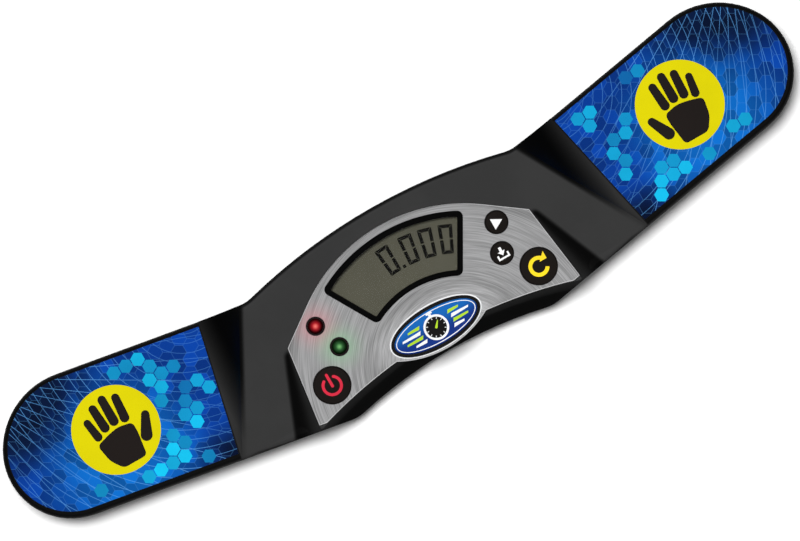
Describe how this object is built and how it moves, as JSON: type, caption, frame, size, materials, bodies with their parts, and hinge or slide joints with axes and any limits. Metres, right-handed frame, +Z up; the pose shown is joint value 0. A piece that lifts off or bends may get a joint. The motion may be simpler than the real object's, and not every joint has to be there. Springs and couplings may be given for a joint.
{
  "type": "speed cube timer",
  "caption": "Flat bow-shaped puzzle timer: touch-pad arms swept back from a raised console with a display, lamps and push buttons.",
  "frame": {"origin": "middle of the case's plan, on the surface that its feet rest on", "axes": "+X to the user's right along the timer, +Y away from the user, +Z up"},
  "size_m": [0.2978, 0.0632, 0.026],
  "materials": {
    "case_plastic": "fine satin grain",
    "base_plastic": "fine satin grain",
    "plate_metal": "arc brushed",
    "bezel_gloss": "polished",
    "window_clear": "clear",
    "lcd_glass": "matt film over glass",
    "holder_plastic": "moulded",
    "strip_rubber": "plain",
    "board_green": "solder mask",
    "chip_black": "moulded",
    "can_metal": "drawn",
    "switch_steel": "stamped",
    "collar_black": "satin",
    "badge_black": "polished",
    "badge_blue": "printed under a clear dome",
    "pad_film": "printed film",
    "sensor_copper": "foil",
    "lead_sleeve": "plain",
    "cell_wrap": "wrapped",
    "contact_steel": "nickel plated",
    "screw_steel": "zinc plated",
    "foot_rubber": "matt",
    "socket_black": "moulded",
    "button_black": "soft touch",
    "plunger_plastic": "moulded",
    "lamp_red": "diffused lens",
    "lamp_green": "diffused lens"
  },
  "bodies": {
    "case": {"upper_housing": "case_plastic", "lower_housing": "base_plastic", "console_plate": "plate_metal", "display_bezel": "bezel_gloss", "display_window": "window_clear", "lcd_panel": "lcd_glass", "lcd_frame": "holder_plastic", "zebra_strip": "strip_rubber", "main_board": "board_green", "controller_chip": "chip_black", "crystal": "can_metal", "data_coupler": "chip_black", "capacitor": "can_metal", "resistors": "chip_black", "tact_switches": "switch_steel", "lamp_collars": "collar_black", "badge_frame": "badge_black", "badge_inlay": "badge_blue", "left_touch_pad": "pad_film", "right_touch_pad": "pad_film", "left_sensor_plate": "sensor_copper", "right_sensor_plate": "sensor_copper", "sensor_leads": "lead_sleeve", "socket_leads": "lead_sleeve", "front_cell": "cell_wrap", "rear_cell": "cell_wrap", "contact_tab": "contact_steel", "contact_spring": "contact_steel", "contact_bridge": "contact_steel", "case_screws": "screw_steel", "board_screws": "screw_steel", "rubber_feet": "foot_rubber", "data_socket": "socket_black", "red_lamp": "lamp_red", "green_lamp": "lamp_green"},
    "power_button": {"power_button": "button_black", "power_plunger": "plunger_plastic"},
    "reset_button": {"reset_button": "button_black", "reset_plunger": "plunger_plastic"},
    "recall_button": {"recall_button": "button_black", "recall_plunger": "plunger_plastic"},
    "save_button": {"save_button": "button_black", "save_plunger": "plunger_plastic"},
    "battery_door": {"battery_door": "base_plastic"},
    "left_door_screw": {"left_door_screw": "screw_steel"},
    "right_door_screw": {"right_door_screw": "screw_steel"}
  },
  "joints": [
    {"name": "power_press", "type": "slide", "parent": "case", "child": "power_button", "axis": [0, 0.0872, -0.9962], "range_m": [0, 0.00035], "stiffness_N_per_m": 1600, "springref_m": -0.0003},
    {"name": "reset_press", "type": "slide", "parent": "case", "child": "reset_button", "axis": [0, 0.0872, -0.9962], "range_m": [0, 0.00035], "stiffness_N_per_m": 1600, "springref_m": -0.0003},
    {"name": "recall_press", "type": "slide", "parent": "case", "child": "recall_button", "axis": [0, 0.0872, -0.9962], "range_m": [0, 0.00035], "stiffness_N_per_m": 1400, "springref_m": -0.0003},
    {"name": "save_press", "type": "slide", "parent": "case", "child": "save_button", "axis": [0, 0.0872, -0.9962], "range_m": [0, 0.00035], "stiffness_N_per_m": 1400, "springref_m": -0.0003},
    {"name": "battery_door_lift", "type": "slide", "parent": "case", "child": "battery_door", "axis": [0, 0, -1], "range_m": [0, 0.03]},
    {"name": "left_door_screw_turn", "type": "hinge", "parent": "battery_door", "child": "left_door_screw", "pos_m": [-0.0306, 0.0099, 0.0012], "axis": [0, 0, 1], "continuous": true},
    {"name": "right_door_screw_turn", "type": "hinge", "parent": "battery_door", "child": "right_door_screw", "pos_m": [0.0306, 0.0099, 0.0012], "axis": [0, 0, 1], "continuous": true}
  ]
}
